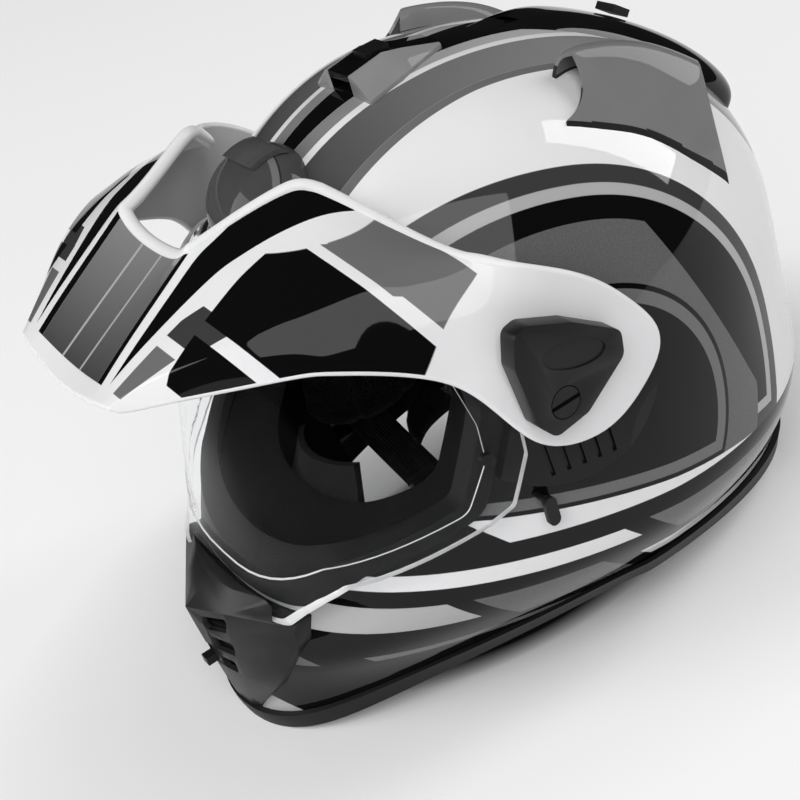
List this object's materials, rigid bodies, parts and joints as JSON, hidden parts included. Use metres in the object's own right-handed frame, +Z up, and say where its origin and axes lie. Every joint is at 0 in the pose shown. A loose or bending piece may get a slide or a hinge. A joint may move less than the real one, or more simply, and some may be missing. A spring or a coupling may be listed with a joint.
{
  "type": "dual sport helmet",
  "caption": "Full-face helmet with a long peak, a clear tilting shield, sliding vents, scoop ducts and a padded, strapped liner.",
  "frame": {"origin": "on the surface that the helmet rests on, in its plane of symmetry, just in front of the middle of its length, under the head opening", "axes": "+Z up, the face looks along -Y, +X is the wearer's left"},
  "size_m": [0.28, 0.3251, 0.2494],
  "materials": {
    "shell_paint": "clear-coated white paint on a laminated fibre shell, with grey and black stripes",
    "black_rubber": "soft moulded rubber trim",
    "black_plastic": "fine-grained black plastic",
    "gloss_black": "gloss black plastic",
    "grey_plastic": "painted grey plastic",
    "smoke_plastic": "smoke-tinted plastic",
    "clear_lens": "clear hard-coated polycarbonate",
    "peak_paint": "white plastic with grey and black stripes",
    "foam": "expanded polystyrene foam, coated dark",
    "liner_fabric": "knitted moisture-wicking fabric over foam",
    "webbing": "woven nylon webbing",
    "steel": "stainless steel"
  },
  "bodies": {
    "helmet_body": {"outer_shell": "shell_paint", "rim_trim": "black_rubber", "port_gasket": "black_rubber", "base_plate_left": "black_plastic", "base_plate_right": "black_plastic", "shield_pivot_pins": "black_plastic", "chin_vent_body": "black_plastic", "brow_vent": "smoke_plastic", "top_vent": "grey_plastic", "rear_spoiler": "gloss_black", "rear_duct_left": "grey_plastic", "rear_duct_right": "grey_plastic", "crown_foam": "foam", "chin_foam": "foam", "crown_pad": "liner_fabric", "cheek_pad_left": "liner_fabric", "cheek_pad_right": "liner_fabric", "neck_roll": "liner_fabric", "breath_guard": "black_rubber", "strap_left": "webbing", "strap_right": "webbing", "strap_rivets": "steel"},
    "shield_body": {"shield": "clear_lens", "lens_pins": "black_plastic"},
    "peak_body": {"peak": "peak_paint", "pod_cover_left": "black_plastic", "pod_cover_right": "black_plastic"},
    "left_screw_body": {"peak_screw_left": "black_plastic"},
    "right_screw_body": {"peak_screw_right": "black_plastic"},
    "chin_shutter_body": {"chin_vent_shutter": "black_plastic"},
    "brow_lid_body": {"brow_vent_lid": "smoke_plastic"},
    "top_slider_body": {"top_vent_slider": "black_plastic"},
    "exhaust_knob_body": {"exhaust_knob": "black_plastic"},
    "ring_body": {"d_rings": "steel"},
    "latch_body": {"shield_latch": "black_plastic"}
  },
  "joints": [
    {"name": "shield_hinge", "type": "hinge", "parent": "helmet_body", "child": "shield_body", "pos_m": [0, -0.016, 0.162], "axis": [-1, 0, 0], "range_deg": [0, 32]},
    {"name": "peak_tilt", "type": "hinge", "parent": "helmet_body", "child": "peak_body", "pos_m": [0, -0.041, 0.155], "axis": [-1, 0, 0], "range_deg": [-4, 4]},
    {"name": "left_screw_turn", "type": "hinge", "parent": "helmet_body", "child": "left_screw_body", "pos_m": [0.136, -0.041, 0.155], "axis": [1, 0, 0], "range_deg": [0, 90]},
    {"name": "right_screw_turn", "type": "hinge", "parent": "helmet_body", "child": "right_screw_body", "pos_m": [-0.136, -0.041, 0.155], "axis": [-1, 0, 0], "range_deg": [0, 90]},
    {"name": "chin_shutter_slide", "type": "slide", "parent": "helmet_body", "child": "chin_shutter_body", "axis": [0, 0, 1], "range_m": [0, 0.005]},
    {"name": "brow_lid_slide", "type": "slide", "parent": "helmet_body", "child": "brow_lid_body", "axis": [0, 0.7431, 0.6691], "range_m": [0, 0.005]},
    {"name": "top_slider_slide", "type": "slide", "parent": "helmet_body", "child": "top_slider_body", "axis": [0, 1, 0], "range_m": [0, 0.007]},
    {"name": "exhaust_knob_slide", "type": "slide", "parent": "helmet_body", "child": "exhaust_knob_body", "axis": [0, 0.7804, -0.6253], "range_m": [0, 0.005]},
    {"name": "ring_swing", "type": "hinge", "parent": "helmet_body", "child": "ring_body", "pos_m": [-0.03959, -0.022, 0.02268], "axis": [0, 1, 0], "range_deg": [-20, 20]},
    {"name": "latch_swing", "type": "hinge", "parent": "helmet_body", "child": "latch_body", "pos_m": [0.118, -0.047, 0.1034], "axis": [-1, 0, 0], "range_deg": [0, 25]}
  ]
}
